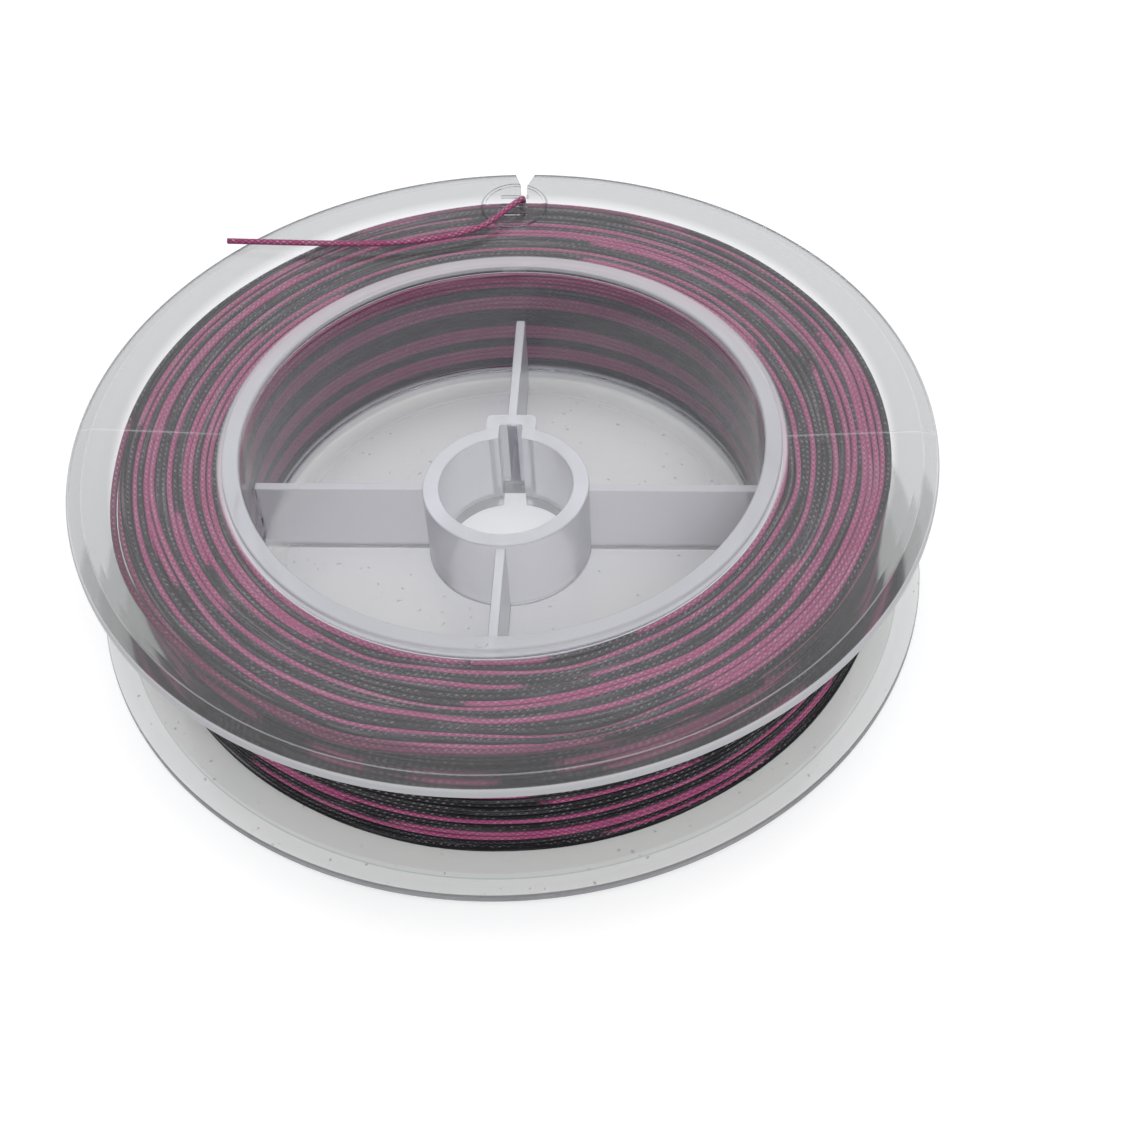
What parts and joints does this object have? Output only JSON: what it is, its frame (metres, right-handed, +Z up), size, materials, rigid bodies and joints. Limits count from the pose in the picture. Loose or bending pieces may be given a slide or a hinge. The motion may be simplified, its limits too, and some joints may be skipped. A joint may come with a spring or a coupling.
{
  "type": "fishing line spool",
  "caption": "Clear plastic spool with a ribbed hub and a keyed bore, full of two-coloured braided fishing line whose free end is held in a slit in the upper flange.",
  "frame": {"origin": "centre of the underside, on the spool's axis, where the lower flange's land rests", "axes": "+Z up along the spool's axis, +Y towards the line slit in the upper flange's rim, +X to the right seen from the front"},
  "size_m": [0.1, 0.1, 0.0221],
  "materials": {
    "clear_plastic": "clear polished",
    "dark_line": "braided",
    "pink_line": "braided"
  },
  "bodies": {
    "root": {"lower_flange": "clear_plastic", "upper_flange": "clear_plastic", "drum_tube": "clear_plastic", "floor_web": "clear_plastic", "hub_sleeve": "clear_plastic", "rib_rear": "clear_plastic", "rib_left": "clear_plastic", "rib_front": "clear_plastic", "rib_right": "clear_plastic", "moulded_mark": "clear_plastic", "winding_core": "dark_line", "winding_turns": "pink_line", "line_tail": "pink_line"}
  },
  "joints": []
}
